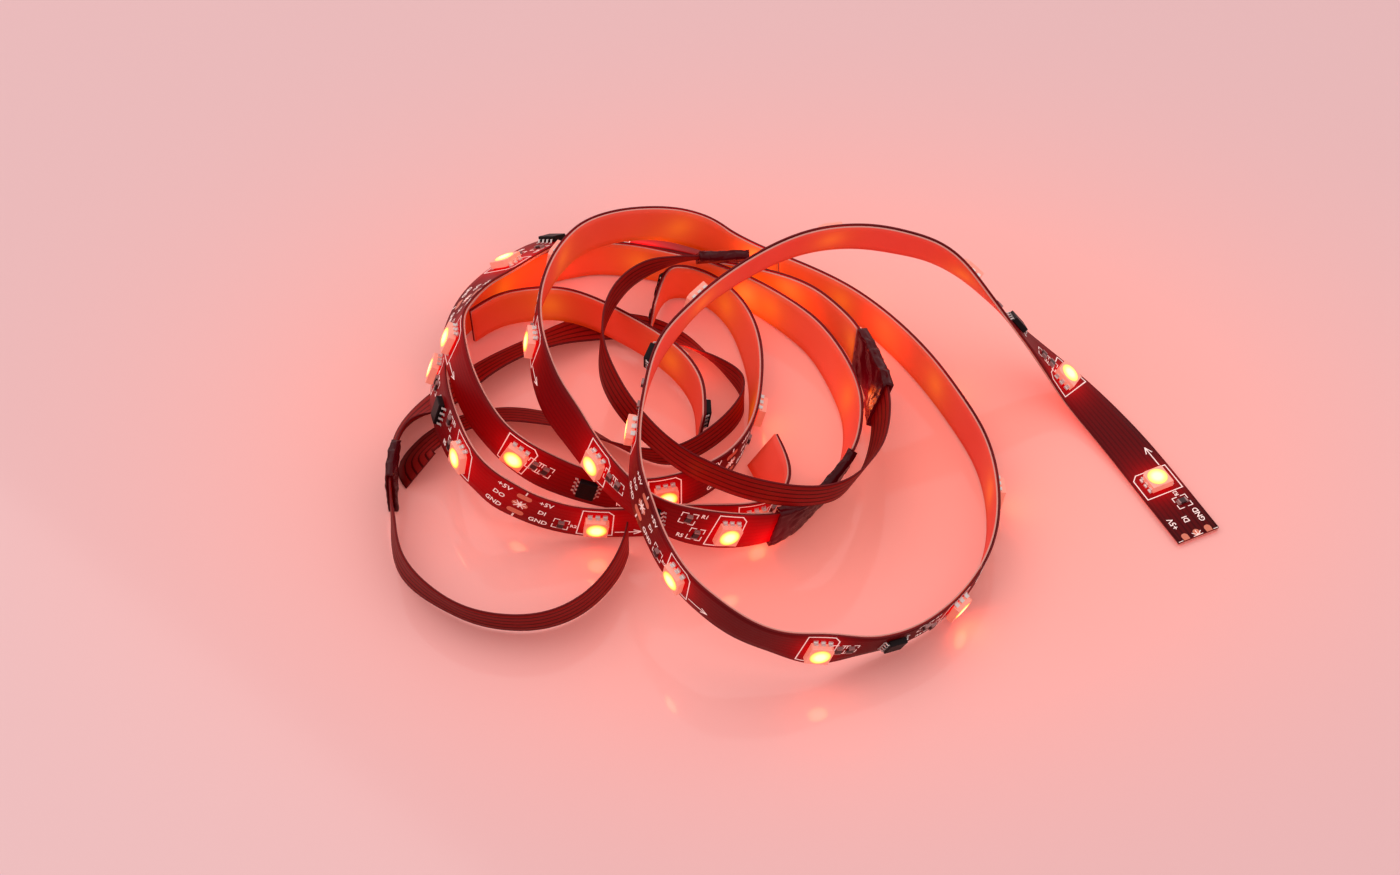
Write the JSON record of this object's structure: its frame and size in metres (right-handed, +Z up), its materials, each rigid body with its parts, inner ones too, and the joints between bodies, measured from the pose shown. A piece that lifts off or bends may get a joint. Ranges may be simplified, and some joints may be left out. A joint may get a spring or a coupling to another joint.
{
  "type": "led strip light",
  "caption": "Flexible light strip with surface-mounted lamps, driver chips and sleeved flat leads, lying as a loose tangle of loops.",
  "frame": {"origin": "under the middle of the tangle's bounding box, on the surface it lies on", "axes": "+Z up, +X towards the loose tail, +Y away from the viewer"},
  "size_m": [0.176, 0.1326, 0.0473],
  "materials": {
    "board": "satin solder mask over copper",
    "lead": "satin film over copper",
    "liner": "waxed release paper",
    "sleeve": "wrinkled heat-shrink film",
    "led": "clear resin over a white package"
  },
  "bodies": {
    "root": {"outer_strip_board": "board", "outer_strip_liner": "liner", "led_01": "led", "led_02": "led", "led_03": "led", "led_04": "led", "led_05": "led", "led_06": "led", "led_07": "led", "led_08": "led", "led_09": "led", "led_10": "led", "led_11": "led", "led_12": "led", "far_strip_board": "board", "far_strip_liner": "liner", "led_13": "led", "led_14": "led", "led_15": "led", "led_16": "led", "led_17": "led", "front_sleeve": "sleeve", "middle_strip_board": "board", "middle_strip_liner": "liner", "led_18": "led", "led_19": "led", "led_20": "led", "led_21": "led", "led_22": "led", "led_23": "led", "led_24": "led", "led_25": "led", "back_sleeve": "sleeve", "bridge_lead": "lead", "right_sleeve": "sleeve", "inner_strip_board": "board", "inner_strip_liner": "liner", "led_26": "led", "led_27": "led", "led_28": "led", "led_29": "led", "led_30": "led", "led_31": "led", "led_32": "led", "led_33": "led", "led_34": "led", "loop_strip_board": "board", "loop_strip_liner": "liner", "led_35": "led", "led_36": "led", "return_lead": "lead", "left_sleeve": "sleeve", "floor_lead": "lead"}
  },
  "joints": []
}
